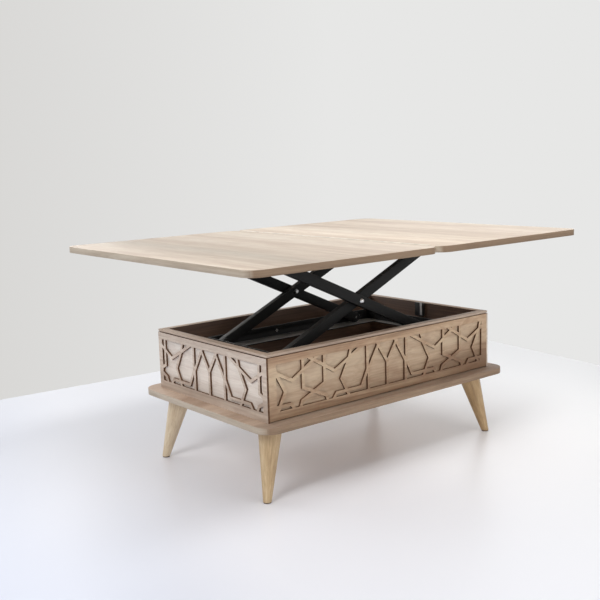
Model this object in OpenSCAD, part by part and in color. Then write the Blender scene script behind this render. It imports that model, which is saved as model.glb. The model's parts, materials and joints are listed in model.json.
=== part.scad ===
// Lift top coffee table: open box on a plinth with splayed legs, scissor lift,
// top that turns a quarter turn and unfolds to twice its size.
// Millimetres, +Z up, floor at z = 0. X runs along the box, front is -Y.
// Drawn raised, turned and unfolded.

/* [Box] */
// Outside length of the box
box_length = 900; // [800:10:1000]
// Outside width of the box
box_width = 550; // [500:10:600]
// Height of a fretted facing panel
box_height = 176; // [150:1:200]
// How far the side boards rise above the facing panels
rise = 9; // [6:0.5:14]
// Thickness of a side board
wall = 18; // [16:1:20]
// Thickness of a facing panel
panel = 6; // [5:0.5:8]
// Shadow gap under a long panel
panel_gap = 3; // [1:0.5:5]
// Shadow gap between a facing panel and the lip above it
lip_gap = 2.5; // [1:0.5:4]
// Thickness of the box floor
floor_thick = 5; // [3:1:8]

/* [Fretwork] */
// Width of a strap
strap = 9.5; // [7:0.5:11]
// Plain band left below the pattern
band_low = 26; // [20:1:32]
// Plain band left above the pattern
band_top = 21; // [18:1:30]
// Plain band left at each end of a long panel
band_end = 25; // [20:1:30]
// Plain band left at each end of a short panel
band_short = 20; // [16:1:30]

/* [Plinth and legs] */
// Length of the plinth board
plinth_length = 982; // [900:1:1080]
// Width of the plinth board
plinth_width = 638; // [560:1:700]
// Thickness of the plinth board
plinth_thick = 18; // [16:1:25]
// Corner radius of the plinth board
plinth_corner = 47.5; // [20:0.5:60]
// Height of a leg
leg_height = 200; // [150:5:260]
// Radius of a leg at the plinth
leg_top_r = 35; // [28:0.5:38]
// Radius of a leg at the floor
leg_foot_r = 11.7; // [9:0.1:16]
// Thickness of the pad under a leg
pad_thick = 3; // [2:0.5:5]

/* [Top] */
// Distance from the fold line to the outer edge of a leaf
leaf_reach = 640; // [580:1:680]
// Length of a leaf along the fold line
leaf_length = 966; // [900:1:1020]
// Thickness of a leaf
leaf_thick = 18; // [16:1:22]
// Corner radius of a leaf
leaf_corner = 40; // [10:1:60]
// Height of the upper face above the floor
top_height = 665; // [600:1:700]

/* [Lift] */
// Distance between the end pivots of an arm
arm_length = 622; // [560:1:660]
// Height of an arm's tube
arm_high = 32; // [26:1:36]
// Width of an arm's tube
arm_deep = 19; // [16:1:24]
// Wall of an arm's tube
tube_wall = 2; // [1.5:0.5:3]
// Radius of a roller
roller_r = 17; // [16.5:0.1:18]
// Thickness of the sheet steel of the rails
sheet = 3; // [2:0.5:4]
// How far the lift stands right of the middle of the box
lift_shift = 15; // [0:1:30]
// Height of the flange the lower rollers run on
track_z = 339; // [330:1:345]

/* [View] */
// Which piece to draw

/* [Hidden] */
$fn = 64;
e = 1;
slip = 0.05;

pin_r = 5;
axle_r = 4;
head_r = 6.5;
pivot_gap = 2;
swivel_r = 6;
plate = 6;
washer = 3;
stack = 2 * plate + washer;

z_plinth = pad_thick + leg_height;
z_box = z_plinth + plinth_thick;
z_rim = z_box + box_height + rise;
z_top = top_height;
z_leaf = z_top - leaf_thick;
z_carrier = z_leaf - stack;

z_low = track_z + roller_r;
z_high = z_carrier - sheet - roller_r;
pivot_end = 30;
roller_end = 11;
fixed_x = lift_shift - (arm_length + roller_r + roller_end - pivot_end) / 2;
tilt = asin((z_high - z_low) / arm_length);
reach = arm_length * cos(tilt);
xm = fixed_x + reach / 2;
zm = (z_low + z_high) / 2;
xs = fixed_x + reach;

// across the box, measured from its middle line
q_in = 137;
q_out = q_in + arm_deep;
p_in = q_out + pivot_gap;
p_out = p_in + arm_deep;
up_in = 182.5;
up_out = up_in + sheet;
low_in = 187.5;
low_out = low_in + sheet;
flange_in = 128;
rail_high = 36;
drop = 26;
x_left = fixed_x - pivot_end;
x_right = fixed_x + arm_length + roller_r + roller_end;
up_left = x_left + 9;
up_right = x_right - 6;
cross_flange = 30;
cross_wide = 40;
swivel_wide = 60;
tube_off = 40;
disc_r = 70;
washer_r = 50;
screw_ring = 58;
screw_long = 18;
base_long = 120;
base_wide = 110;

lip = panel - 1;
z_lip = z_box + box_height + lip_gap;
core_x = box_length / 2 - panel;
core_y = box_width / 2 - panel;
in_x = core_x - wall;
in_y = core_y - wall;

leg_x = 408;
leg_y = 227;
foot_x = 453.5;
foot_y = 262;
lean = atan2(norm([foot_x - leg_x, foot_y - leg_y]), leg_height);
leg_long = leg_height / cos(lean);
taper = (leg_top_r - leg_foot_r) / leg_long;
bolt_r = 4;
bolt_in = 44;
bolt_out = 12;

bolt_first = x_left + 86;
bolt_pitch = (x_right - 46 - bolt_first) / 3;
bolt_x = [for (k = [0 : 3]) bolt_first + k * bolt_pitch];
bolt_z = track_z + 16;
bracket_low = track_z + 3;
bracket_high = track_z + 31;
bracket_half = 20;
bracket_drop = 25;
screw_off = 12;
screw_z = bracket_low + sheet - 16;
screw_deep = 12;

seam = 1.5;
fold_z = z_top + 0.3;
knuckle_r = 2;
knuckle_pitch = 40;
knuckles = 2 * floor((leaf_length - 2 * leaf_corner) / (2 * knuckle_pitch));
swing = (leaf_reach + seam) / 4;

sides = [-1, 1];

function near_y(s, a, b) = s > 0 ? a : -b;

// block spanning a to b away from the middle line on side s
module bar(s, x0, x1, a, b, z0, z1) {
    translate([x0, near_y(s, a, b), z0])
        cube([x1 - x0, b - a, z1 - z0]);
}

// round bar across the box from a to b on side s
module rod(s, x, z, a, b, r) {
    translate([x, near_y(s, a, b), z])
        rotate([-90, 0, 0])
            cylinder(h = b - a, r = r);
}

module rounded(x0, x1, y0, y1, r_left, r_right) {
    difference() {
        translate([x0, y0])
            square([x1 - x0, y1 - y0]);
        for (c = [[x0, y0, 1, 1, r_left], [x0, y1, 1, -1, r_left],
                  [x1, y0, -1, 1, r_right], [x1, y1, -1, -1, r_right]])
            difference() {
                translate([c[2] > 0 ? c[0] - e : c[0] - c[4], c[3] > 0 ? c[1] - e : c[1] - c[4]])
                    square([c[4] + e, c[4] + e]);
                translate([c[0] + c[2] * c[4], c[1] + c[3] * c[4]])
                    circle(r = c[4]);
            }
    }
}

// ---------------------------------------------------------------- plinth and legs

module leg_axis(sx, sy) {
    turn = atan2(sy * (leg_y - foot_y), sx * (leg_x - foot_x));
    translate([sx * foot_x, sy * foot_y, pad_thick])
        rotate([0, 0, turn])
            rotate([0, lean, 0])
                children();
}

module leg(sx, sy) {
    color([0.72, 0.62, 0.46])
        difference() {
            intersection() {
                leg_axis(sx, sy)
                    translate([0, 0, -20])
                        cylinder(h = leg_long + 40, r1 = leg_foot_r - 20 * taper,
                            r2 = leg_top_r + 20 * taper);
                translate([sx * leg_x - 120, sy * leg_y - 120, pad_thick])
                    cube([240, 240, leg_height]);
            }
            leg_axis(sx, sy)
                translate([0, 0, leg_long - bolt_in - e])
                    cylinder(h = 2 * bolt_in, r = bolt_r + slip);
        }
}

module leg_front_left() leg(-1, -1);
module leg_front_right() leg(1, -1);
module leg_back_left() leg(-1, 1);
module leg_back_right() leg(1, 1);

module leg_pads() {
    color([0.25, 0.22, 0.2])
        for (sx = sides, sy = sides)
            translate([sx * foot_x, sy * foot_y, 0])
                cylinder(h = pad_thick, r = leg_foot_r - 1);
}

module leg_bolts() {
    color([0.7, 0.7, 0.7])
        for (sx = sides, sy = sides)
            leg_axis(sx, sy)
                translate([0, 0, leg_long - bolt_in])
                    cylinder(h = bolt_in + bolt_out, r = bolt_r);
}

module plinth_board() {
    color([0.6, 0.52, 0.44])
        difference() {
            translate([0, 0, z_plinth])
                linear_extrude(plinth_thick)
                    rounded(-plinth_length / 2, plinth_length / 2,
                        -plinth_width / 2, plinth_width / 2, plinth_corner, plinth_corner);
            for (sx = sides, sy = sides)
                leg_axis(sx, sy)
                    translate([0, 0, leg_long - bolt_out])
                        cylinder(h = 2 * bolt_out + e / 2, r = bolt_r + slip);
        }
}

// ---------------------------------------------------------------- box

module box_floor() {
    color([0.2, 0.17, 0.15])
        translate([-in_x, -in_y, z_box])
            cube([2 * in_x, 2 * in_y, floor_thick]);
}

module screw_holes(s) {
    for (x = bolt_x, d = [-screw_off, screw_off])
        rod(s, x + d, screw_z, in_y - e, in_y + screw_deep + 2, 2 + slip);
}

module wall_long(s) {
    color([0.64, 0.54, 0.42])
        difference() {
            union() {
                bar(s, -core_x, core_x, in_y, core_y, z_box, z_rim);
                bar(s, -core_x - lip, core_x + lip, in_y, core_y + lip, z_lip, z_rim);
            }
            screw_holes(s);
        }
}

module wall_front() wall_long(-1);
module wall_back() wall_long(1);

module wall_short(s) {
    color([0.64, 0.54, 0.42])
        mirror([s > 0 ? 0 : 1, 0, 0])
            union() {
                translate([in_x, -in_y, z_box])
                    cube([wall, 2 * in_y, z_rim - z_box]);
                translate([in_x, -in_y, z_lip])
                    cube([wall + lip, 2 * in_y, z_rim - z_lip]);
            }
}

module wall_left() wall_short(-1);
module wall_right() wall_short(1);

// ---------------------------------------------------------------- fretwork

// straps of one half of the field, as chains of [along, up] points
arch = [[76, 20], [76, 86], [30, 161]];
vee = [[-43, 161], [0, 95], [43, 161]];
flank = [[80, 161], [80, 86], [105, 38]];

// middle of the star, on a long and on a short panel
star_long = 282;
star_short = 278;
shift_long = -6;

// straps around a star whose middle stands at c
function foot(c, d) = [[c - d * 82, 38], [c - d * 66, 17]];
function rays(c) = [
    [[c - 130, 17], [c - 121, 38], [c - 101, 76], [c - 131, 131], [c - 140, 163]],
    [[c - 186, 161], [c - 131, 131], [c - 76, 103], [c + 18, 158]],
    [[c - 38.5, 161], [c - 38.5, 76], [c + 43, 39.5], [c + 52, 17]]
];

function unit(v) = v / norm(v);
function left(v) = [-v[1], v[0]];
function along(c, i) = left(unit(c[i + 1] - c[i]));
function mitre(a, b) = (a + b) / (1 + a * b);
function edge(c, i) = i == 0 ? along(c, 0)
    : i == len(c) - 1 ? along(c, i - 1)
    : mitre(along(c, i - 1), along(c, i));

module chain(c) {
    n = len(c) - 1;
    polygon(concat([for (i = [0 : n]) c[i] + strap / 2 * edge(c, i)],
        [for (i = [n : -1 : 0]) c[i] - strap / 2 * edge(c, i)]));
}

module half_field(c) {
    chain(arch);
    chain(concat(flank, foot(c, 1)));
    chain(concat([[2 * c - 105, 38]], foot(c, -1)));
    for (r = rays(c)) {
        chain(r);
        translate([2 * c, 0])
            mirror([1, 0])
                chain(r);
    }
}

// pierced board, low is its lower edge, c the middle of a star, shift moves the pattern
module fret(half_long, half_open, low, c, shift) {
    difference() {
        translate([-half_long, low])
            square([2 * half_long, box_height - low]);
        translate([-half_open, band_low])
            square([2 * half_open, box_height - band_low - band_top]);
    }
    intersection() {
        translate([-half_open - e, band_low - e])
            square([2 * half_open + 2 * e, box_height - band_low - band_top + 2 * e]);
        translate([shift, 0])
            union() {
                half_field(c);
                mirror([1, 0])
                    half_field(c);
                chain([[0, 20], [0, 97]]);
                chain(vee);
            }
    }
}

module panel_long(s) {
    half_open = core_x - band_end;
    color([0.66, 0.57, 0.46])
        translate([0, s > 0 ? core_y + panel : -core_y, z_box])
            rotate([90, 0, 0])
                linear_extrude(panel)
                    union() {
                        fret(core_x, half_open, panel_gap, star_long, shift_long);
                        for (d = sides)
                            translate([d * half_open - strap, band_low - e])
                                square([2 * strap, 13]);
                    }
}

module panel_front() panel_long(-1);
module panel_back() panel_long(1);

module panel_short(s) {
    color([0.72, 0.63, 0.53])
        translate([s > 0 ? core_x : -core_x - panel, 0, z_box])
            rotate([90, 0, 90])
                linear_extrude(panel)
                    fret(box_width / 2, box_width / 2 - band_short, 0, star_short, 0);
}

module panel_left() panel_short(-1);
module panel_right() panel_short(1);

// ---------------------------------------------------------------- lower frame

module lower_rail(s) {
    color([0.06, 0.06, 0.06])
        difference() {
            union() {
                bar(s, x_left, x_right, flange_in, low_out, track_z - sheet, track_z);
                bar(s, x_left, x_right, low_in, low_out, track_z - sheet,
                    track_z - sheet + rail_high);
            }
            for (x = bolt_x)
                rod(s, x, bolt_z, low_in - e, low_out + e, 3 + slip);
        }
}

module lower_rail_front() lower_rail(-1);
module lower_rail_back() lower_rail(1);

module lower_cross(x0, x1, f0, f1) {
    color([0.06, 0.06, 0.06])
        union() {
            translate([x0, -low_in, track_z])
                cube([x1 - x0, 2 * low_in, rail_high - sheet]);
            translate([x0, -flange_in, track_z - sheet])
                cube([x1 - x0, 2 * flange_in, sheet + e]);
            translate([f0, -flange_in, track_z - sheet])
                cube([f1 - f0, 2 * flange_in, sheet]);
        }
}

module lower_cross_left() {
    lower_cross(x_left, x_left + sheet, x_left, x_left + cross_flange);
}

module lower_cross_right() {
    lower_cross(x_right - sheet, x_right, x_right - cross_flange, x_right);
}

module wall_brackets() {
    color([0.1, 0.1, 0.1])
        for (s = sides, x = bolt_x)
            difference() {
                union() {
                    bar(s, x - bracket_half, x + bracket_half, low_out, low_out + sheet,
                        bracket_low, bracket_high);
                    bar(s, x - bracket_half, x + bracket_half, low_out, in_y,
                        bracket_low, bracket_low + sheet);
                    bar(s, x - bracket_half, x + bracket_half, in_y - sheet, in_y,
                        bracket_low - bracket_drop, bracket_low + sheet);
                }
                rod(s, x, bolt_z, low_out - e, low_out + sheet + e, 3 + slip);
                for (d = [-screw_off, screw_off])
                    rod(s, x + d, screw_z, in_y - sheet - e, in_y + e, 2 + slip);
            }
}

module rail_bolts() {
    color([0.75, 0.75, 0.75])
        for (s = sides, x = bolt_x) {
            rod(s, x, bolt_z, low_in - 1.8, low_in, 5);
            rod(s, x, bolt_z, low_in - 0.5, low_out + sheet + 8, 3);
            translate([x, near_y(s, low_out + sheet, low_out + sheet + 5), bolt_z])
                rotate([-90, 0, 0])
                    cylinder(h = 5, r = 5.8, $fn = 6);
        }
}

module bracket_screws() {
    color([0.75, 0.75, 0.75])
        for (s = sides, x = bolt_x, d = [-screw_off, screw_off]) {
            rod(s, x + d, screw_z, in_y - sheet - 2.2, in_y - sheet, 4);
            rod(s, x + d, screw_z, in_y - sheet - 1, in_y + screw_deep, 2);
        }
}

module pivot_lugs() {
    color([0.06, 0.06, 0.06])
        for (s = sides)
            difference() {
                union() {
                    bar(s, fixed_x - 16, fixed_x + 16, q_in - 5, q_in - 1, track_z, z_low);
                    rod(s, fixed_x, z_low, q_in - 5, q_in - 1, 16);
                }
                rod(s, fixed_x, z_low, q_in - 6, q_in, pin_r + 0.02);
            }
}

module roller_stops() {
    color([0.06, 0.06, 0.06])
        for (s = sides)
            bar(s, xs - head_r - 8.3, xs - head_r - 0.3, p_out + 1, low_in, z_low - 9, z_low + 1);
}

module lower_pivot_pins() {
    color([0.75, 0.75, 0.75])
        for (s = sides) {
            rod(s, fixed_x, z_low, q_in - 7, q_in - 5, 8);
            rod(s, fixed_x, z_low, q_in - 6, q_out + 0.8, pin_r);
            rod(s, fixed_x, z_low, q_in - 1, q_in - 0.2, 8);
        }
}

// ---------------------------------------------------------------- arms

module arm(s, a, b, turn) {
    h = arm_length / 2;
    r = arm_high / 2;
    color([0.16, 0.16, 0.16])
        translate([xm, 0, zm])
            rotate([0, turn, 0])
                difference() {
                    union() {
                        bar(s, -h, h, a, b, -r, r);
                        rod(s, -h, 0, a, b, r);
                        rod(s, h, 0, a, b, r);
                    }
                    bar(s, 15 - h, -15, a + tube_wall, b - tube_wall,
                        tube_wall - r, r - tube_wall);
                    bar(s, 15, h, a + tube_wall, b - tube_wall, tube_wall - r, r - tube_wall);
                    bar(s, h - 21, h + 20, a + tube_wall, b - tube_wall, -r - e, r + e);
                    rod(s, -h, 0, a - e, b + e, pin_r + slip);
                    rod(s, 0, 0, a - e, b + e, pin_r + slip);
                    rod(s, h, 0, a - e, b + e, axle_r + 0.02);
                }
}

module arm_outer_front() arm(-1, p_in, p_out, tilt);
module arm_outer_back() arm(1, p_in, p_out, tilt);
module arm_inner_front() arm(-1, q_in, q_out, -tilt);
module arm_inner_back() arm(1, q_in, q_out, -tilt);

module cross_tube_high() {
    color([0.16, 0.16, 0.16])
        translate([xm, -q_in, zm])
            rotate([0, -tilt, 0])
                translate([arm_length / 2 - tube_off, 0, 0])
                    rotate([-90, 0, 0])
                        difference() {
                            cylinder(h = 2 * q_in, r = 11);
                            translate([0, 0, -e])
                                cylinder(h = 2 * q_in + 2 * e, r = 9);
                        }
}

module mid_pivot_bolts() {
    head_r = 8.5;
    head_h = 4.5;
    ball = (head_r * head_r + head_h * head_h) / (2 * head_h);
    color([0.8, 0.8, 0.8])
        for (s = sides) {
            rod(s, xm, zm, q_in - 8, p_out + 0.5, pin_r);
            intersection() {
                rod(s, xm, zm, p_out, p_out + head_h + e, head_r);
                translate([xm, s * (p_out + head_h - ball), zm])
                    rotate([90, 0, 0])
                        sphere(r = ball);
            }
        }
}

module mid_pivot_nuts() {
    color([0.75, 0.75, 0.75])
        for (s = sides)
            difference() {
                translate([xm, near_y(s, q_in - 5, q_in), zm])
                    rotate([-90, 0, 0])
                        cylinder(h = 5, r = 8.5, $fn = 6);
                rod(s, xm, zm, q_in - 6, q_in + e, pin_r + 0.02);
            }
}

module mid_washers() {
    color([0.85, 0.85, 0.82])
        for (s = sides)
            difference() {
                rod(s, xm, zm, q_out, p_in, 11);
                rod(s, xm, zm, q_out - e, p_in + e, pin_r + 0.02);
            }
}

// ---------------------------------------------------------------- rollers

module roller(s, x, z, a, b) {
    m = (a + b) / 2;
    color([0.12, 0.12, 0.12])
        difference() {
            union() {
                rod(s, x, z, m - 6, m + 6, roller_r);
                rod(s, x, z, m - 7.2, m + 7.2, 8);
            }
            rod(s, x, z, m - 10, m + 10, axle_r + slip);
            for (d = sides)
                difference() {
                    rod(s, x, z, m + (d > 0 ? 4.5 : -7.5), m + (d > 0 ? 7.5 : -4.5), 14);
                    rod(s, x, z, m - 10, m + 10, 8);
                }
        }
}

module roller_low_front() roller(-1, xs, z_low, p_in, p_out);
module roller_low_back() roller(1, xs, z_low, p_in, p_out);
module roller_high_front() roller(-1, xs, z_high, q_in, q_out);
module roller_high_back() roller(1, xs, z_high, q_in, q_out);

module roller_axles_low() {
    color([0.75, 0.75, 0.75])
        for (s = sides) {
            rod(s, xs, z_low, p_in, p_out + 0.5, axle_r);
            rod(s, xs, z_low, p_out, p_out + 3, head_r);
        }
}

module roller_axles_high() {
    color([0.75, 0.75, 0.75])
        for (s = sides) {
            rod(s, xs, z_high, q_in - 0.5, q_out, axle_r);
            rod(s, xs, z_high, q_in - 1.5, q_in, head_r);
        }
}

// ---------------------------------------------------------------- carrier under the top

module swivel_bore() {
    translate([-swing, swing, z_carrier - sheet])
        cylinder(h = sheet, r1 = 11.02, r2 = swivel_r + 0.02);
}

module upper_rail(s) {
    color([0.08, 0.08, 0.08])
        difference() {
            union() {
                bar(s, up_left, up_right, flange_in, up_out, z_carrier - sheet, z_carrier);
                bar(s, up_left, up_right, up_in, up_out, z_carrier - drop, z_carrier);
                bar(s, fixed_x - 16, fixed_x + 16, up_in, up_out, z_high, z_carrier);
                rod(s, fixed_x, z_high, up_in, up_out, 16);
            }
            rod(s, fixed_x, z_high, up_in - e, up_out + e, pin_r + 0.02);
            if (s > 0)
                swivel_bore();
        }
}

module upper_rail_front() upper_rail(-1);
module upper_rail_back() upper_rail(1);

module upper_cross(x, w) {
    color([0.08, 0.08, 0.08])
        translate([x - w / 2, -flange_in, z_carrier - sheet])
            cube([w, 2 * flange_in, sheet]);
}

module upper_cross_left() upper_cross(up_left + 6 + cross_wide / 2, cross_wide);
module upper_cross_swivel() upper_cross(-swing, swivel_wide);
module upper_cross_right() upper_cross(up_right - 7 - cross_wide / 2, cross_wide);

module upper_pivot_pins() {
    color([0.75, 0.75, 0.75])
        for (s = sides) {
            rod(s, fixed_x, z_high, p_in + 0.2, up_out + 0.5, pin_r);
            rod(s, fixed_x, z_high, p_out + 0.2, up_in, 9);
            rod(s, fixed_x, z_high, up_out, up_out + 1.2, 8);
        }
}

glide_at = [[-262, 157], [20, 157], [300, 157], [-262, -157], [-130, -157], [60, -157],
    [300, -157]];

module top_glides() {
    color([0.1, 0.1, 0.1])
        for (g = glide_at)
            translate([g[0], g[1], z_carrier]) {
                cylinder(h = stack - 3, r = 14);
                cylinder(h = stack - 0.3, r = 11);
            }
}

module swivel_base() {
    color([0.3, 0.3, 0.3])
        difference() {
            translate([-swing - base_long / 2, swing - base_wide / 2, z_carrier])
                cube([base_long, base_wide, plate]);
            translate([-swing, swing, z_carrier - e])
                cylinder(h = plate + 2 * e, r = swivel_r + 0.02);
        }
}

module swivel_washer() {
    color([0.85, 0.85, 0.82])
        difference() {
            translate([-swing, swing, z_carrier + plate])
                cylinder(h = washer, r = washer_r);
            translate([-swing, swing, z_carrier])
                cylinder(h = stack, r = swivel_r + 0.02);
        }
}

module swivel_pin() {
    color([0.75, 0.75, 0.75])
        translate([-swing, swing, z_carrier - sheet]) {
            cylinder(h = sheet, r1 = 11, r2 = swivel_r);
            cylinder(h = stack + sheet + 1, r = swivel_r);
            translate([0, 0, stack + sheet + 0.3])
                cylinder(h = 3, r = 12);
        }
}

module disc_screws(r_head, r_shank, z_end) {
    for (k = [0 : 5])
        translate([-swing, swing, 0])
            rotate([0, 0, 60 * k + 30])
                translate([screw_ring, 0, z_leaf - plate]) {
                    cylinder(h = 3, r1 = r_head, r2 = r_shank);
                    cylinder(h = z_end, r = r_shank);
                }
}

module swivel_disc() {
    color([0.3, 0.3, 0.3])
        difference() {
            translate([-swing, swing, z_leaf - plate])
                cylinder(h = plate, r = disc_r);
            translate([-swing, swing, z_leaf - plate - e])
                cylinder(h = plate + 2 * e, r = swivel_r + slip);
            disc_screws(5.02, 2.52, screw_long);
        }
}

module swivel_screws() {
    color([0.75, 0.75, 0.75])
        disc_screws(5, 2.5, screw_long);
}

// ---------------------------------------------------------------- folding top

module leaf(s) {
    color([0.88, 0.82, 0.74])
        difference() {
            translate([0, 0, z_leaf])
                mirror([s > 0 ? 0 : 1, 0, 0])
                    linear_extrude(leaf_thick)
                        rounded(seam, leaf_reach, -leaf_length / 2, leaf_length / 2,
                            leaf_corner, leaf_corner);
            translate([0, -leaf_length / 2 - e, fold_z])
                rotate([-90, 0, 0])
                    cylinder(h = leaf_length + 2 * e, r = knuckle_r + 0.5);
            if (s < 0) {
                translate([-swing, swing, z_leaf - e])
                    cylinder(h = 6, r = 16);
                disc_screws(2.52, 2.52, screw_long + 1);
                strike_block(e);
            }
        }
}

module leaf_left() leaf(-1);
module leaf_right() leaf(1);

module hinge_half(s) {
    h = knuckle_pitch;
    y0 = -knuckles * h / 2;
    color([0.7, 0.7, 0.68])
        difference() {
            union() {
                translate([s > 0 ? 0.3 : -seam, y0, z_leaf + 2])
                    cube([seam - 0.3, knuckles * h, fold_z - knuckle_r - 0.5 - z_leaf - 2]);
                for (k = [0 : knuckles - 1])
                    if (k % 2 == (s > 0 ? 1 : 0)) {
                        translate([0, y0 + k * h + 0.2, fold_z])
                            rotate([-90, 0, 0])
                                cylinder(h = h - 0.4, r = knuckle_r, $fn = 24);
                        translate([s > 0 ? 0.3 : -seam, y0 + k * h + 0.2, fold_z - 5])
                            cube([seam - 0.3, h - 0.4, 4]);
                    }
            }
            translate([0, y0 - e, fold_z])
                rotate([-90, 0, 0])
                    cylinder(h = knuckles * h + 2 * e, r = 1 + slip, $fn = 24);
        }
}

module hinge_left() hinge_half(-1);
module hinge_right() hinge_half(1);

module hinge_rod() {
    color([0.6, 0.6, 0.6])
        translate([0, -knuckles * knuckle_pitch / 2, fold_z])
            rotate([-90, 0, 0])
                cylinder(h = knuckles * knuckle_pitch, r = 1, $fn = 24);
}

// ---------------------------------------------------------------- catch

catch_y = -4;
catch_wide = 37;
catch_high = 46;
catch_deep = 10;
strip_y = catch_y - 9.5;
strip_half = 4.5;

module catch_body() {
    color([0.08, 0.08, 0.08])
        difference() {
            translate([in_x - catch_deep, catch_y - catch_wide / 2, z_rim - catch_high])
                cube([catch_deep, catch_wide, catch_high]);
            translate([in_x - catch_deep - e, strip_y - strip_half, z_rim - catch_high + 4])
                cube([2 + e, 2 * strip_half, catch_high]);
        }
}

module catch_strip() {
    color([0.8, 0.8, 0.8])
        translate([in_x - catch_deep, strip_y - strip_half, z_rim - catch_high + 4])
            cube([2, 2 * strip_half, catch_high - 4]);
}

// steel plate let into the underside, over the catch when the top is shut
module strike_block(below) {
    translate([catch_y - 2 * swing - 20, catch_deep / 2 - in_x - 10, z_leaf - below])
        cube([40, 20, 1 + below]);
}

module strike_plate() {
    color([0.75, 0.75, 0.75])
        strike_block(0);
}

// ---------------------------------------------------------------- drawing

plinth_board();
leg_front_left();
leg_front_right();
leg_back_left();
leg_back_right();
leg_pads();
leg_bolts();
box_floor();
wall_front();
wall_back();
wall_left();
wall_right();
panel_front();
panel_back();
panel_left();
panel_right();
lower_rail_front();
lower_rail_back();
lower_cross_left();
lower_cross_right();
wall_brackets();
rail_bolts();
bracket_screws();
pivot_lugs();
roller_stops();
lower_pivot_pins();
arm_inner_front();
arm_inner_back();
cross_tube_high();
arm_outer_front();
arm_outer_back();
mid_pivot_bolts();
mid_pivot_nuts();
mid_washers();
roller_low_front();
roller_low_back();
roller_high_front();
roller_high_back();
roller_axles_low();
roller_axles_high();
upper_rail_front();
upper_rail_back();
upper_cross_left();
upper_cross_swivel();
upper_cross_right();
upper_pivot_pins();
top_glides();
swivel_base();
swivel_washer();
swivel_pin();
swivel_disc();
swivel_screws();
leaf_left();
leaf_right();
hinge_left();
hinge_right();
hinge_rod();
catch_body();
catch_strip();
strike_plate();
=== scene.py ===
"""Looks of the lift top coffee table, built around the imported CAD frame. Metres, +Z up."""

import json
import math

import bmesh
import bpy
from mathutils import Matrix, Vector

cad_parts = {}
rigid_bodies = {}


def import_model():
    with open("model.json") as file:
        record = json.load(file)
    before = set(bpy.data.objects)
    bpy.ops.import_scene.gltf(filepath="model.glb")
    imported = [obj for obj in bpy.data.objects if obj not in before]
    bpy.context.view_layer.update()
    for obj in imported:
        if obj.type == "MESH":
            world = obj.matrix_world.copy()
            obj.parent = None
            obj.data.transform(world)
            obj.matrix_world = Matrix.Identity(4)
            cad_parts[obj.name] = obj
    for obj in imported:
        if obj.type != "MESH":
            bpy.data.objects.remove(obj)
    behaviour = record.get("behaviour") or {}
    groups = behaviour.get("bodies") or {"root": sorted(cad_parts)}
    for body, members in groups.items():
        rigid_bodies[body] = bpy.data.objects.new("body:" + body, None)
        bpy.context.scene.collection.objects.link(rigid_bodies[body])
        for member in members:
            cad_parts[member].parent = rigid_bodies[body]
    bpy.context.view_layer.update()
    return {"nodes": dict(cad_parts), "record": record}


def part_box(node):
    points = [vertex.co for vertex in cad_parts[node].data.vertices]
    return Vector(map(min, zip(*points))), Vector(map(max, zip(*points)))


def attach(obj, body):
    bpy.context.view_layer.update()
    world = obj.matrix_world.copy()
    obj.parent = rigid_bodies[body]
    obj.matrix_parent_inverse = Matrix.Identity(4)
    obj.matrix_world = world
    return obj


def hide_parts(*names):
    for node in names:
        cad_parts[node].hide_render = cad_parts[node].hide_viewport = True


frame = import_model()
NODES = frame["nodes"]
BODY_OF = {
    node: body
    for body, members in frame["record"]["behaviour"]["bodies"].items()
    for node in members
}
SLOT_OF = {s["node"]: s["material_slot"] for s in frame["record"]["subparts"]}


# ---------------------------------------------------------------- node trees

# sockets of the Mix node when it mixes colours
MIX_FACTOR, MIX_A, MIX_B, MIX_RESULT = 0, 6, 7, 2


def rgb(r, g, b):
    """A colour as it shows on a screen, made linear."""
    return tuple(
        c / 12.92 if c <= 0.04045 else ((c + 0.055) / 1.055) ** 2.4
        for c in (r / 255, g / 255, b / 255)
    )


def dimmed(colour, factor):
    return tuple(c * factor for c in colour)


class Tree:
    """A node tree with a short way to add a node."""

    def __init__(self, tree):
        self.tree = tree

    def node(self, kind, settings=None, inputs=None):
        """A new node; an input is another node's output, or a value."""
        made = self.tree.nodes.new("ShaderNode" + kind)
        for key, value in (settings or {}).items():
            setattr(made, key, value)
        for key, value in (inputs or {}).items():
            if hasattr(value, "is_output"):
                self.tree.links.new(value, made.inputs[key])
            else:
                made.inputs[key].default_value = value
        return made

    def calc(self, operation, a, b=0.0):
        return self.node("Math", {"operation": operation}, {0: a, 1: b}).outputs[0]

    def along(self, where, direction):
        """How far a place lies along a direction."""
        made = self.node("VectorMath", {"operation": "DOT_PRODUCT"}, {0: where, 1: direction})
        return made.outputs["Value"]

    def axis(self, vector, name):
        return self.node("SeparateXYZ", inputs={0: vector}).outputs[name]

    def span(self, value, low, high, to_low=0.0, to_high=1.0):
        """A value from low to high, moved to run from to_low to to_high."""
        made = self.node(
            "MapRange",
            inputs={
                "Value": value,
                "From Min": low,
                "From Max": high,
                "To Min": to_low,
                "To Max": to_high,
            },
        )
        return made.outputs["Result"]

    def ramp(self, value, stops):
        """Colour by value, through stops of [(position, colour), ...]."""
        made = self.node("ValToRGB", inputs={"Fac": value})
        elements = made.color_ramp.elements
        while len(elements) < len(stops):
            elements.new(0.5)
        for element, (at, colour) in zip(elements, stops):
            element.position = at
            element.color = (*colour, 1.0)
        return made.outputs["Color"]


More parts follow.
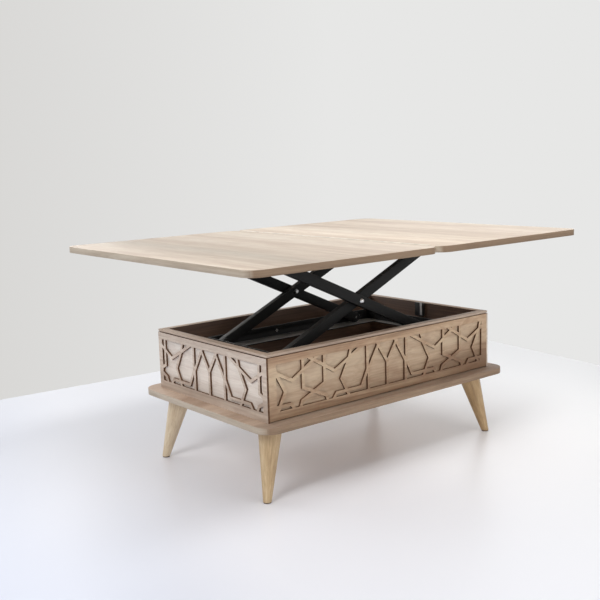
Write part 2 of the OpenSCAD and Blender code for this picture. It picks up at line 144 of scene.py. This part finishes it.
class Finish(Tree):
    """A Principled material, with the parts its procedural look is made of."""

    def __init__(self, name, rough=0.5, metal=0.0, spec=0.5):
        self.material = bpy.data.materials.new(name)
        self.material.use_nodes = True
        super().__init__(self.material.node_tree)
        self.shader = self.tree.nodes["Principled BSDF"]
        self.set("Roughness", rough)
        self.set("Metallic", metal)
        self.set("Specular IOR Level", spec)

    def set(self, socket, value):
        self.shader.inputs[socket].default_value = value

    def place(self):
        """The piece's own coordinates, which move with it."""
        return self.node("TexCoord").outputs["Object"]

    def grain(self):
        """Coordinates laid along the grain: along, across, layer."""
        return self.node("Attribute", {"attribute_name": "grain"}).outputs["Vector"]

    def noise(self, where, scale, detail=3.0, rough=0.55, warp=0.0):
        """Noise stretched by a scale, given in waves per metre along each axis."""
        spread = self.node("Mapping", inputs={"Vector": where, "Scale": scale})
        made = self.node(
            "TexNoise",
            inputs={
                "Vector": spread.outputs["Vector"],
                "Scale": 1.0,
                "Detail": detail,
                "Roughness": rough,
                "Distortion": warp,
            },
        )
        return made.outputs["Fac"]

    def sum(self, parts):
        """A weighted sum of [(output, weight), ...]."""
        total = None
        for output, weight in parts:
            weighed = self.calc("MULTIPLY", output, weight)
            total = weighed if total is None else self.calc("ADD", total, weighed)
        return total

    def blend(self, amount, a, b, mode="MIX"):
        """Two colours mixed; the amount and each colour is an output or a value."""
        a, b = (c if hasattr(c, "is_output") else (*c, 1.0) for c in (a, b))
        made = self.node(
            "Mix",
            {"data_type": "RGBA", "blend_type": mode},
            {MIX_FACTOR: amount, MIX_A: a, MIX_B: b},
        )
        return made.outputs[MIX_RESULT]

    def colour(self, output):
        self.tree.links.new(output, self.shader.inputs["Base Color"])

    def roughness(self, value, low, high, to_low, to_high):
        output = self.span(value, low, high, to_low, to_high)
        self.tree.links.new(output, self.shader.inputs["Roughness"])

    def bump(self, height, distance, strength):
        made = self.node(
            "Bump", inputs={"Height": height, "Distance": distance, "Strength": strength}
        )
        self.tree.links.new(made.outputs["Normal"], self.shader.inputs["Normal"])


# ---------------------------------------------------------------- kinds of finish

# the oak decor's noises, in waves per metre along the grain, across it and from layer to layer
OAK_BAND = (0.55, 7.5, 1.0)
OAK_FIGURE = (2.4, 26.0, 1.0)
OAK_STREAK = (3.0, 190.0, 1.0)
OAK_PORE = (22.0, 1100.0, 1.0)
OAK_PATCH = (9.0, 24.0, 1.0)
OAK_WANDER = (1.6, 3.0, 1.0)
# half the spread of the oak's tone at contrast 1
OAK_SPREAD = 0.17
# how dark a pore and a drawn line are, as shares of the darkest shade
PORE_SHADE, LINE_SHADE = 0.45, 0.72
# where a drift darkens a board, it warms it a little too
WARMTH = (1.0, 0.975, 0.955)
# how squarely an edge faces along X, where its painted light starts to show and where it is full
END_LIGHT_FROM, END_LIGHT_FULL = 0.6, 0.97
# how far a drift's slow change of brightness wanders, and what that adds to it on average
WANDER_REACH, WANDER_MEAN = 0.1, 0.05


def oak(name, shades, contrast, rough=0.55, tint=None, drift=None, ends=None):
    """Light oak decor: broad bands, long streaks and fine open pores.

    shades and ends are (dark, mid, pale), ends being those of an edge that faces along X, painted
    paler as lit from the left,
    tint is (colour, amount) of the cloudy heartwood patches between the bands,
    drift is [(metres across, grey), ...], a slow change of brightness over a board; on the box
    and the plinth it is painted light and shade.
    """
    g = Finish(name, rough)
    where = g.grain()
    band = g.noise(where, OAK_BAND, 2.0, 0.5, 0.4)
    figure = g.noise(where, OAK_FIGURE, 3.0, 0.55, 1.6)
    streak = g.noise(where, OAK_STREAK, 5.0, 0.62)
    pore = g.noise(where, OAK_PORE, 2.0, 0.5)
    tone = g.sum([(band, 0.5), (figure, 0.27), (streak, 0.23)])
    half = OAK_SPREAD / contrast
    level = g.span(tone, 0.5 - half, 0.5 + half)
    dark = rgb(*shades[0])
    base = g.ramp(level, [(k / 2, rgb(*shade)) for k, shade in enumerate(shades)])
    # painted light: an edge that faces along X gets the paler end shades, as lit from the left
    if ends:
        facing = g.axis(g.node("TexCoord").outputs["Normal"], "X")
        turned = g.span(g.calc("ABSOLUTE", facing), END_LIGHT_FROM, END_LIGHT_FULL)
        end = g.ramp(level, [(k / 2, rgb(*shade)) for k, shade in enumerate(ends)])
        base = g.blend(turned, base, end)
    base = g.blend(g.span(pore, 0.52, 0.72, 0.0, 0.22), base, dimmed(dark, PORE_SHADE))
    base = g.blend(g.span(streak, 0.55, 0.8, 0.0, 0.25), base, dimmed(dark, LINE_SHADE))
    if tint:
        colour, amount = tint
        patch = g.noise(where, OAK_PATCH, 3.0, 0.6, 1.2)
        base = g.blend(g.span(patch, 0.46, 0.66, 0.0, amount), base, rgb(*colour))
    # painted light and shade where a drift is given: a slow change of brightness over the board
    if drift:
        start, stop = drift[0][0], drift[-1][0]
        wander = g.noise(where, OAK_WANDER, 2.0)
        spot = g.sum([(g.axis(where, "Y"), 1.0), (wander, WANDER_REACH)])
        shade = g.ramp(
            g.span(spot, start + WANDER_MEAN, stop + WANDER_MEAN),
            [((at - start) / (stop - start), dimmed(WARMTH, grey)) for at, grey in drift],
        )
        base = g.blend(1.0, base, shade, "MULTIPLY")
    g.colour(base)
    g.roughness(streak, 0.3, 0.7, rough - 0.06, rough + 0.1)
    g.bump(g.sum([(streak, 0.5), (pore, 0.5)]), 0.00025, 0.6)
    return g.material


def dark_decor(name):
    """Dark walnut decor inside the box."""
    g = Finish(name, 0.5, spec=0.35)
    where = g.grain()
    band = g.noise(where, (0.8, 9.0, 1.0), 2.0, 0.5, 0.5)
    streak = g.noise(where, (4.0, 170.0, 1.0), 5.0, 0.6)
    tone = g.span(g.sum([(band, 0.55), (streak, 0.45)]), 0.32, 0.68)
    g.colour(
        g.ramp(tone, [(0.0, rgb(84, 64, 53)), (0.55, rgb(115, 91, 76)), (1.0, rgb(144, 117, 99))])
    )
    g.roughness(streak, 0.3, 0.7, 0.42, 0.56)
    g.bump(streak, 0.0002, 0.5)
    return g.material


def fibreboard(name):
    """Raw brown edge of the facing panels, as the cutter leaves it; also painted on the walls'
    foot strips as the shade in the gap under the panels.
    """
    g = Finish(name, 0.85, spec=0.2)
    where = g.place()
    fleck = g.noise(where, (900.0, 900.0, 900.0), 3.0, 0.6)
    cloud = g.noise(where, (25.0, 25.0, 90.0), 2.0)
    tone = g.span(g.sum([(fleck, 0.5), (cloud, 0.5)]), 0.35, 0.65)
    g.colour(
        g.ramp(tone, [(0.0, rgb(84, 60, 44)), (0.5, rgb(108, 80, 60)), (1.0, rgb(130, 100, 78))])
    )
    g.bump(fleck, 0.0003, 0.6)
    return g.material


def beech(name, shades):
    """Turned beech under clear lacquer: fine rays and soft growth lines."""
    g = Finish(name, 0.42)
    where = g.grain()
    ring = g.noise(where, (3.0, 60.0, 60.0), 3.0, 0.55, 0.5)
    ray = g.noise(where, (70.0, 700.0, 700.0), 2.0, 0.5)
    vein = g.noise(where, (5.0, 260.0, 260.0), 4.0, 0.6)
    tone = g.span(g.sum([(ring, 0.6), (vein, 0.4)]), 0.34, 0.66)
    base = g.ramp(tone, [(k / 2, rgb(*shade)) for k, shade in enumerate(shades)])
    g.colour(g.blend(g.span(ray, 0.56, 0.72, 0.0, 0.3), base, rgb(158, 122, 80)))
    g.roughness(vein, 0.3, 0.7, 0.36, 0.48)
    g.bump(g.sum([(vein, 0.5), (ray, 0.5)]), 0.00015, 0.5)
    g.set("Coat Weight", 0.15)
    g.set("Coat Roughness", 0.25)
    return g.material


def powder_coat(name, tone):
    """Black powder coat with its fine orange peel."""
    g = Finish(name, 0.52, spec=0.24)
    where = g.place()
    peel = g.noise(where, (900.0, 900.0, 900.0), 2.0, 0.5)
    cloud = g.noise(where, (14.0, 14.0, 14.0), 3.0)
    g.colour(
        g.ramp(g.span(cloud, 0.35, 0.65), [(0.0, dimmed(tone, 0.8)), (1.0, dimmed(tone, 1.25))])
    )
    g.roughness(cloud, 0.35, 0.65, 0.46, 0.58)
    g.bump(peel, 0.0002, 0.45)
    return g.material


def plated(name, low, high, rough, scale):
    """Plated steel with a faint drawn texture."""
    g = Finish(name, rough, metal=1.0)
    where = g.place()
    cloud = g.noise(where, (60.0, 60.0, 60.0), 3.0)
    drawn = g.noise(where, scale, 3.0)
    tone = g.span(g.sum([(cloud, 0.5), (drawn, 0.5)]), 0.35, 0.65)
    g.colour(g.ramp(tone, [(0.0, low), (1.0, high)]))
    g.roughness(drawn, 0.3, 0.7, rough - 0.08, rough + 0.08)
    g.bump(drawn, 0.0001, 0.4)
    return g.material


def moulded(name, tone, rough):
    """A smooth dull skin with a fine spark texture, for plastic and for painted pieces."""
    g = Finish(name, rough, spec=0.45)
    where = g.place()
    spark = g.noise(where, (1500.0, 1500.0, 1500.0), 2.0)
    cloud = g.noise(where, (30.0, 30.0, 30.0), 2.0)
    g.colour(
        g.ramp(g.span(cloud, 0.35, 0.65), [(0.0, dimmed(tone, 0.88)), (1.0, dimmed(tone, 1.12))])
    )
    g.roughness(spark, 0.3, 0.7, rough - 0.05, rough + 0.07)
    g.bump(spark, 0.00012, 0.5)
    return g.material


def felt(name):
    """Pressed felt under the feet."""
    g = Finish(name, 0.95, spec=0.1)
    fibre = g.noise(g.place(), (1400.0, 1400.0, 500.0), 4.0, 0.7, 1.0)
    g.colour(
        g.ramp(g.span(fibre, 0.35, 0.65), [(0.0, rgb(70, 60, 52)), (1.0, rgb(118, 104, 92))])
    )
    g.bump(fibre, 0.0005, 0.8)
    return g.material


# ---------------------------------------------------------------- finishes of this table

HEART = (150, 110, 84)
ROSE = (184, 156, 140)

# slow changes of brightness: metres along X on the top, up the height of the box, along Y on the
# plinth;
# on the box and the plinth they are painted light and shade
TOP_DRIFT = [
    (-0.64, 0.86),
    (-0.55, 0.73),
    (-0.45, 0.58),
    (-0.37, 0.73),
    (-0.28, 0.79),
    (-0.2, 0.86),
    (-0.1, 0.87),
    (0.02, 0.93),
    (0.12, 1.0),
    (0.2, 0.93),
    (0.3, 0.92),
    (0.38, 0.94),
    (0.5, 1.0),
    (0.64, 0.94),
]
# painted light: the front and back of the box lighter towards the top
SIDE_PAINTED_LIGHT = [(0.22, 1.02), (0.27, 1.02), (0.31, 1.06), (0.36, 1.1), (0.41, 1.16)]
# painted shade: the ends of the box darker towards the foot and towards the rim
END_PAINTED_SHADE = [
    (0.22, 0.79),
    (0.26, 0.86),
    (0.3, 0.94),
    (0.35, 0.92),
    (0.375, 0.84),
    (0.41, 0.78),
]
# painted shade: the walls behind the ends' holes darker towards the foot and towards the rim
END_RECESS_PAINTED_SHADE = [(0.22, 0.88), (0.26, 0.98), (0.3, 1.06), (0.35, 1.04), (0.41, 0.86)]
# painted shade: the plinth's top darkened on the strip in front of the box, under the top's
# overhang
PLINTH_PAINTED_SHADE = [
    (-0.33, 0.84),
    (-0.305, 0.74),
    (-0.27, 0.66),
    (-0.25, 0.92),
    (0.0, 1.0),
    (0.33, 1.0),
]

TOP = oak(
    "oak_top",
    ((200, 180, 162), (230, 215, 197), (248, 238, 222)),
    1.3,
    rough=0.5,
    tint=((206, 183, 168), 0.3),
    drift=TOP_DRIFT,
)
# painted light and shade: the leaves' front and back edges darker, as in shade, their ends paler,
# as lit from the left
LEAF_EDGE = oak(
    "oak_leaf_edge",
    ((101, 79, 59), (128, 104, 82), (151, 127, 102)),
    1.4,
    ends=((157, 139, 117), (190, 173, 152), (217, 203, 182)),
)
PLINTH = oak(
    "oak_plinth",
    ((158, 132, 111), (204, 181, 161), (228, 211, 194)),
    0.8,
    tint=(HEART, 0.22),
    drift=PLINTH_PAINTED_SHADE,
)
# painted light and shade: the plinth's front and back edges darker, as in shade, its ends paler,
# as lit from the left
PLINTH_EDGE = oak(
    "oak_plinth_edge",
    ((122, 98, 75), (153, 127, 102), (179, 153, 126)),
    1.5,
    ends=((154, 138, 117), (192, 177, 158), (220, 207, 188)),
)
# front and back of the box: the facing panels, and the walls behind their holes. Painted shade:
# the same decor as the ends, darker, as in shade; the walls behind the holes a little lighter,
# painted light to offset the shade in the recesses
SIDE_SHADED = oak(
    "oak_side",
    ((146, 116, 90), (191, 163, 134), (211, 189, 159)),
    1.7,
    tint=(HEART, 0.42),
    drift=SIDE_PAINTED_LIGHT,
)
SIDE_RECESS_LIT = oak(
    "oak_side_wall",
    ((154, 127, 101), (198, 173, 145), (213, 193, 165)),
    1.5,
    tint=(HEART, 0.3),
    drift=SIDE_PAINTED_LIGHT,
)
# ends of the box, paler than its sides. Painted light: the same decor as the sides, as lit from
# the left; the walls behind the holes paler still, to offset the shade in the recesses
END_LIT = oak(
    "oak_pale",
    ((196, 177, 159), (236, 220, 204), (250, 240, 227)),
    1.6,
    tint=(ROSE, 0.38),
    drift=END_PAINTED_SHADE,
)
END_RECESS_LIT = oak(
    "oak_pale_wall",
    ((212, 198, 184), (244, 235, 224), (254, 248, 241)),
    1.0,
    tint=(ROSE, 0.25),
    drift=END_RECESS_PAINTED_SHADE,
)
RIM = oak("oak_rim", ((166, 143, 124), (196, 175, 156), (216, 198, 180)), 1.3)
DARK = dark_decor("dark_decor")
# fibreboard brown, also painted on the walls' foot strips as the shade under the panels
CORE_AND_GAP_SHADE = fibreboard("fibreboard")
BEECH = beech("beech", ((172, 143, 106), (196, 168, 128), (214, 190, 152)))
# painted light and shade: the back left leg paler, as lit from the left, the front right leg
# deeper and warmer, as in shade
BEECH_LIT = beech("beech_painted_lit", ((196, 172, 140), (219, 199, 168), (234, 218, 190)))
BEECH_SHADED = beech("beech_painted_shade", ((163, 131, 91), (188, 156, 112), (207, 179, 136)))
BLACK = powder_coat("black_coat", (0.009, 0.009, 0.009))
# painted light: a greyer black coat for upward faces, as lit from above, greyest on the lower
# rails' flanges
BLACK_LIT_TOP = powder_coat("black_coat_painted_lit", (0.05, 0.05, 0.048))
BLACK_LIT_TOP_BRIGHT = powder_coat("black_coat_painted_lit_bright", (0.16, 0.16, 0.155))
ZINC = plated("zinc", (0.60, 0.61, 0.62), (0.80, 0.80, 0.80), 0.28, (200.0, 1400.0, 1400.0))
# painted shade: a darker zinc for the middle pivot nuts, which sit in shade
ZINC_SHADED = plated("zinc_painted_shade", (0.21, 0.21, 0.21), (0.31, 0.31, 0.31), 0.45, (900.0, 900.0, 900.0))
HINGE_PLATE = plated(
    "hinge_plate", (0.34, 0.32, 0.29), (0.5, 0.48, 0.44), 0.38, (60.0, 9.0, 60.0)
)
NICKEL = moulded("hinge_nickel", (0.80, 0.74, 0.65), 0.45)
GALVANISED = moulded("galvanised", (0.95, 0.95, 0.94), 0.35)
NYLON = moulded("nylon_black", (0.02, 0.02, 0.02), 0.45)
NYLON_PALE = moulded("nylon_white", (0.72, 0.71, 0.66), 0.4)
FELT = felt("felt")

# by material slot, for the nodes that keep their CAD mesh
FINISH = {
    "oak_top": TOP,
    "oak_side": SIDE_SHADED,
    "dark_board": DARK,
    "beech": BEECH,
    "black_steel": BLACK,
    "zinc": ZINC,
    "nylon_black": NYLON,
    "nylon_white": NYLON_PALE,
    "hinge_steel": NICKEL,
    "felt": FELT,
}


# ---------------------------------------------------------------- dressing a CAD node

# layers of the decor's noise, so that no two boards are cut from the same figure
PLINTH_LAYER, BOX_LAYER, FLOOR_LAYER, EDGE_LAYER = 5.0, 8.0, 12.0, 3.0
LEAF_STEP, SIDE_STEP, LEG_STEP = 0.35, 1.3, 1.7
# angles in degrees: faces that turn less are one flat face, or are shaded as one curve
FLAT, CURVED = 0.4, 32
# edges that turn more than this are softened: on boards, legs, and turned or bent steel
BOARD_EDGE, LEG_EDGE, STEEL_EDGE = 28, 40, 50
# points nearer than this are one point
WELD = 1e-6
# how wide edges are softened, and what is taken off a roller's radius
LEAF_EASE, PLINTH_EASE, LEG_EASE = 0.0007, 0.0015, 0.0012
WALL_EASE, PANEL_EASE = 0.0006, 0.0004
TUBE_EASE, STEEL_EASE, PLATE_EASE = 0.0017, 0.0006, 0.0008
NUT_EASE, STRIP_EASE = 0.0004, 0.0003
ROLLER_PLAY = 0.00004
# how squarely a face looks some way, as the cosine of the angle between
SQUARELY, LARGELY, HALFWAY, LOOSELY = 0.8, 0.6, 0.5, 0.4


def board_grain(long_axis, layer):
    """Grain along long_axis on the faces and along the edge on the edges."""

    def at(co, normal):
        n = max(range(3), key=lambda k: abs(normal[k]))
        if n == 2:
            return co[long_axis], co[1 - long_axis], layer
        if abs(normal[2]) > LARGELY:
            return co[1 - n], co[2], layer + EDGE_LAYER
        return co[1 - n], co[2], layer + EDGE_LAYER + n

    return at


def turned_grain(foot, head, layer):
    """Grain along a turned leg's own axis."""
    axis = (head - foot).normalized()
    side = axis.orthogonal().normalized()
    other = axis.cross(side)

    def at(co, normal):
        d = co - foot
        return d.dot(axis), d.dot(side), d.dot(other) + layer

    return at


def slim(bm, node, play):
    """Take play off the radius of a roller that turns about Y."""
    lo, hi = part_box(node)
    for v in bm.verts:
        for k in (0, 2):
            middle = (lo[k] + hi[k]) / 2
            v.co[k] = middle + (v.co[k] - middle) * (1 - 2 * play / (hi[k] - lo[k]))


def soften(bm, width, angle, rings, edges):
    """Round the edges that turn by more than angle, or those of them that edges picks."""
    sharp = [
        e
        for e in bm.edges
        if len(e.link_faces) == 2
        and e.calc_face_angle(0.0) > math.radians(angle)
        and (edges is None or edges(e))
    ]
    if sharp and width:
        bmesh.ops.bevel(
            bm,
            geom=sharp,
            offset=width,
            segments=rings,
            profile=0.5,
            affect="EDGES",
            clamp_overlap=True,
        )


def split(bm, height):
    """Divide the faces that cross a height."""
    bmesh.ops.bisect_plane(
        bm,
        geom=bm.verts[:] + bm.edges[:] + bm.faces[:],
        plane_co=(0, 0, height),
        plane_no=(0, 0, 1),
    )


def dress(
    node,
    width,
    materials,
    pick=None,
    grain=None,
    edges=None,
    angle=BOARD_EDGE,
    rings=2,
    cut=None,
    play=0.0,
):
    """A copy of a CAD node with softened edges, its grain laid and its faces given finishes.

    cut is a height at which faces are split, so that pick can tell above from below,
    play is taken off a roller's radius, so that it turns clear of its track.
    """
    bm = bmesh.new()
    bm.from_mesh(NODES[node].data)
    bmesh.ops.remove_doubles(bm, verts=bm.verts, dist=WELD)
    bmesh.ops.dissolve_limit(
        bm, angle_limit=math.radians(FLAT), verts=bm.verts, edges=bm.edges
    )
    if play:
        slim(bm, node, play)
    soften(bm, width, angle, rings, edges)
    if cut:
        split(bm, cut)
    bmesh.ops.triangulate(bm, faces=[f for f in bm.faces if len(f.verts) > 4])
    bm.normal_update()
    for f in bm.faces:
        f.smooth = True
        if pick:
            f.material_index = pick(f.normal, f.calc_center_median())
    for e in bm.edges:
        e.smooth = len(e.link_faces) == 2 and e.calc_face_angle(0.0) < math.radians(CURVED)
    if grain:
        layer = bm.loops.layers.float_vector.new("grain")
        for f in bm.faces:
            for loop in f.loops:
                loop[layer] = Vector(grain(loop.vert.co, f.normal))
    mesh = bpy.data.meshes.new(node + "_dressed")
    bm.to_mesh(mesh)
    bm.free()
    for material in materials:
        mesh.materials.append(material)
    piece = bpy.data.objects.new(node + "_dressed", mesh)
    bpy.context.scene.collection.objects.link(piece)
    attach(piece, BODY_OF[node])
    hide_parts(node)


# ---------------------------------------------------------------- top and plinth


def face_or_edge(normal, centre):
    """The first finish on a board's broad faces, the second on its edges."""
    return 0 if abs(normal.z) > HALFWAY else 1


for layer, node in enumerate(("leaf_left", "leaf_right")):
    dress(
        node,
        LEAF_EASE,
        [TOP, LEAF_EDGE],
        pick=face_or_edge,
        grain=board_grain(1, LEAF_STEP * layer),
    )

dress(
    "plinth_board",
    PLINTH_EASE,
    [PLINTH, PLINTH_EDGE],
    pick=face_or_edge,
    grain=board_grain(0, PLINTH_LAYER),
    rings=3,
)

# ---------------------------------------------------------------- legs

# middles of a leg's foot and head, from the middle of the table
LEG_FOOT = (0.4535, 0.262)
LEG_HEAD = (0.408, 0.227)
# painted light and shade: two legs get lit and shaded copies of the beech
LEG_FINISH = {"leg_back_left": BEECH_LIT, "leg_front_right": BEECH_SHADED}

for layer, node in enumerate(
    ("leg_front_left", "leg_front_right", "leg_back_left", "leg_back_right")
):
    lo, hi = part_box(node)
    sx = 1 if lo[0] + hi[0] > 0 else -1
    sy = 1 if lo[1] + hi[1] > 0 else -1
    foot = Vector((sx * LEG_FOOT[0], sy * LEG_FOOT[1], lo[2]))
    head = Vector((sx * LEG_HEAD[0], sy * LEG_HEAD[1], hi[2]))
    dress(
        node,
        LEG_EASE,
        [LEG_FINISH.get(node, BEECH)],
        grain=turned_grain(foot, head, LEG_STEP * layer),
        rings=3,
        angle=LEG_EDGE,
    )

# ---------------------------------------------------------------- box

# side of the box, axis that its boards run along, and where its outer face looks
SIDES = (
    ("front", 0, Vector((0, -1, 0))),
    ("back", 0, Vector((0, 1, 0))),
    ("left", 1, Vector((-1, 0, 0))),
    ("right", 1, Vector((1, 0, 0))),
)
# height above which a wall is its rim, and height of the strip at its foot, which is painted dark
# brown as the shade in the gap under the facing panel
RIM_FROM = 0.3985
FOOT_SHADE_STRIP = 0.008
# the end panels' narrow ends lie farther out than this
PANEL_END = 0.27


def wall_finish(out, foot):
    """Outer face, inner face, rim and painted-shade foot strip of a box wall."""

    def pick(normal, centre):
        if normal.dot(out) < -LOOSELY:
            return 1
        if normal.z > LOOSELY or centre.z > RIM_FROM:
            return 2
        # painted shade: the strip at the wall's foot takes the dark fibreboard brown
        return 3 if centre.z < foot else 0

    return pick


def panel_finish(out, face_ends):
    """Face and raw edges of a facing panel; one with face_ends has its narrow ends in the face's
    finish.
    """

    def pick(normal, centre):
        end = face_ends and abs(normal.y) > SQUARELY and abs(centre.y) > PANEL_END
        return 0 if end or normal.dot(out) > SQUARELY else 1

    return pick


dress("box_floor", PANEL_EASE, [DARK], grain=board_grain(0, FLOOR_LAYER))

for layer, (side, axis, out) in enumerate(SIDES):
    node = "wall_" + side
    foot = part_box(node)[0][2] + FOOT_SHADE_STRIP
    dress(
        node,
        WALL_EASE,
        # painted light and shade: the walls behind the holes take the lit recess copies of the
        # decor
        [END_RECESS_LIT if axis else SIDE_RECESS_LIT, DARK, RIM, CORE_AND_GAP_SHADE],
        pick=wall_finish(out, foot),
        grain=board_grain(axis, BOX_LAYER + SIDE_STEP * layer),
        cut=foot,
    )

for layer, (side, axis, out) in enumerate(SIDES):
    dress(
        "panel_" + side,
        PANEL_EASE,
        # painted light and shade: the ends take the lit copy of the decor, the sides the shaded
        # one
        [END_LIT if axis else SIDE_SHADED, CORE_AND_GAP_SHADE],
        pick=panel_finish(out, side == "right"),
        grain=board_grain(axis, BOX_LAYER + SIDE_STEP * layer),
        rings=1,
    )

# ---------------------------------------------------------------- lift

# half the height of an arm's tube, which is also the radius of its ends
ARM_RADIUS = 0.016
# an edge on an arm's outline strays from one Y by less than the first, from the radius by less
# than the second
LEVEL, OUTLINE_SLACK = 1e-5, 0.0006
# the hinge's plates lie below this height, its knuckles above
HINGE_PLATES_TO = 0.6625


def lit_from_above(normal, centre):
    """Upward faces get the greyer coat: painted light, as lit from above."""
    return 1 if normal.z > LARGELY else 0


def plate_or_knuckle(normal, centre):
    return 1 if centre.z < HINGE_PLATES_TO else 0


def outline(foot, head):
    """Edges of an arm that lie on its outline, seen from the side."""
    axis = (head - foot).normalized()
    across = Vector((-axis.z, 0, axis.x))
    long = (head - foot).length

    def on(e):
        a, b = (v.co for v in e.verts)
        d = (a + b) / 2 - foot
        t, u = d.dot(axis), abs(d.dot(across))
        beyond = max(-t, t - long, 0.0)
        level = abs(a.y - b.y) < LEVEL
        return level and math.hypot(u, beyond) > ARM_RADIUS - OUTLINE_SLACK

    return on


for node in ("arm_outer_front", "arm_outer_back", "arm_inner_front", "arm_inner_back"):
    lo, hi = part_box(node)
    falls = "outer" in node
    left, right = lo[0] + ARM_RADIUS, hi[0] - ARM_RADIUS
    low, high = lo[2] + ARM_RADIUS, hi[2] - ARM_RADIUS
    foot = Vector((left, 0, high if falls else low))
    head = Vector((right, 0, low if falls else high))
    # painted light on the arms' upward faces
    dress(node, TUBE_EASE, [BLACK, BLACK_LIT_TOP], pick=lit_from_above, edges=outline(foot, head), rings=3)

for node in (
    "lower_rail_front",
    "lower_rail_back",
    "lower_cross_left",
    "lower_cross_right",
    "upper_rail_front",
    "upper_rail_back",
    "upper_cross_left",
    "upper_cross_swivel",
    "upper_cross_right",
    "wall_brackets",
    "pivot_lugs",
    "roller_stops",
):
    # painted light: the lower rails' upward flanges greyest, as they catch the light
    top_light = BLACK_LIT_TOP_BRIGHT if node.startswith("lower_") else BLACK_LIT_TOP
    dress(node, STEEL_EASE, [BLACK, top_light], pick=lit_from_above, angle=STEEL_EDGE)

for node in ("roller_low_front", "roller_low_back", "roller_high_front", "roller_high_back"):
    dress(node, STEEL_EASE, [NYLON], angle=STEEL_EDGE, play=ROLLER_PLAY)

for node in ("hinge_left", "hinge_right"):
    dress(node, 0.0, [NICKEL, HINGE_PLATE], pick=plate_or_knuckle)

dress("swivel_base", PLATE_EASE, [ZINC], angle=STEEL_EDGE)
dress("catch_body", PLATE_EASE, [NYLON], angle=STEEL_EDGE)
dress("catch_strip", STRIP_EASE, [GALVANISED], angle=STEEL_EDGE)
# painted shade on the middle pivot nuts
dress("mid_pivot_nuts", NUT_EASE, [ZINC_SHADED], angle=STEEL_EDGE)

# the rest keep their CAD mesh
shown = {o.name for o in bpy.data.objects}
for node, piece in NODES.items():
    if node + "_dressed" not in shown:
        piece.data.materials.clear()
        piece.data.materials.append(FINISH[SLOT_OF[node]])


# ---------------------------------------------------------------- floor and wall

# painted light and shade: the floor's colour runs this way, from grey near the camera's left to
# white on the far right
FLOOR_LIGHT_RUN = (0.93, -0.12, 0.0)
FLOOR_CORNERS = [(-9.0, -9.0, 0), (0.32, -9.0, 0), (1.659, 1.171, 0), (-9.0, 1.9, 0)]


def white_floor():
    """Satin floor with painted light and shade, a little cooler and greyer towards the camera."""
    g = Finish("white_floor", 0.32, spec=0.4)
    where = g.place()
    cloud = g.noise(where, (0.7, 0.7, 0.7), 2.0)
    tone = g.sum([(g.along(where, FLOOR_LIGHT_RUN), 1.0), (cloud, 0.4)])
    g.colour(
        g.ramp(
            g.span(tone, -1.2, 1.2),
            [
                (0.0, rgb(180, 188, 209)),
                (0.35, rgb(236, 237, 243)),
                (0.8, rgb(247, 247, 249)),
                (1.0, rgb(250, 250, 251)),
            ],
        )
    )
    return g.material


mesh = bpy.data.meshes.new("studio_floor")
mesh.from_pydata(FLOOR_CORNERS, [], [list(range(len(FLOOR_CORNERS)))])
mesh.materials.append(white_floor())
plane = bpy.data.objects.new("studio_floor", mesh)
bpy.context.scene.collection.objects.link(plane)

world = bpy.data.worlds.new("studio")
bpy.context.scene.world = world
world.use_nodes = True
world.node_tree.nodes.clear()
sky = Tree(world.node_tree)

# painted shade: the wall behind is a little darker and warmer to the left
toward = sky.node("TexCoord").outputs["Generated"]
sideways = sky.along(toward, (0.773, -0.633, 0.0))
wall_painted_shade = sky.ramp(
    sky.span(sideways, -0.32, 0.32), [(0.0, rgb(217, 216, 214)), (0.55, rgb(231, 231, 230))]
)

# the camera and mirrors see the wall; the room's light comes from a weaker, cooler one
path = sky.node("LightPath").outputs
mirrored = sky.calc("MAXIMUM", path["Is Glossy Ray"], path["Is Transmission Ray"])
direct = sky.calc("MAXIMUM", path["Is Camera Ray"], mirrored)
light = sky.node("Background", inputs={"Color": (0.95, 0.97, 1.0, 1.0), "Strength": 0.41})
seen = sky.node("Background", inputs={"Color": wall_painted_shade, "Strength": 1.0})
mixed = sky.node("MixShader", inputs={0: direct, 1: light.outputs[0], 2: seen.outputs[0]})
sky.node("OutputWorld", inputs={"Surface": mixed.outputs[0]})


# ---------------------------------------------------------------- lamps and camera


def lamp(name, at, aim, size, power, colour=(1.0, 1.0, 1.0)):
    """A rectangular lamp of some width and height, power in watts."""
    data = bpy.data.lights.new(name, "AREA")
    data.shape = "RECTANGLE"
    data.size, data.size_y = size
    data.energy = power
    data.color = colour
    thing = bpy.data.objects.new(name, data)
    turn = (Vector(aim) - Vector(at)).to_track_quat("-Z", "Y")
    thing.matrix_world = Matrix.Translation(at) @ turn.to_matrix().to_4x4()
    bpy.context.scene.collection.objects.link(thing)


lamp("front_top", (0.2, -1.25, 3.3), (0.0, -0.25, 0.3), (2.6, 0.8), 44.0)
lamp("left_key", (-4.6, -1.1, 3.6), (0.0, 0.0, 0.35), (2.1, 1.8), 100.0)
lamp("front_fill", (0.6, -3.6, 2.0), (0.0, 0.0, 0.3), (2.4, 1.8), 23.0, (1.0, 0.95, 0.9))
lamp("right_floor", (3.2, 2.0, 1.1), (1.5, 0.7, 0.0), (1.6, 0.6), 3.6)
lamp("back_wash", (-0.8, 3.6, 2.2), (-0.3, 1.3, 0.0), (4.0, 1.2), 56.0)

camera_data = bpy.data.cameras.new("camera")
camera_data.sensor_width = 36.0
camera_data.lens = 53.893
camera = bpy.data.objects.new("camera", camera_data)
camera.matrix_world = Matrix(
    (
        (0.77332, 0.12439, -0.62169, -1.82086),
        (-0.63328, 0.10425, -0.76687, -2.11490),
        (-0.03058, 0.98674, 0.15939, 0.92076),
        (0.0, 0.0, 0.0, 1.0),
    )
)
bpy.context.scene.collection.objects.link(camera)
bpy.context.scene.camera = camera
bpy.context.scene.view_settings.view_transform = "Standard"
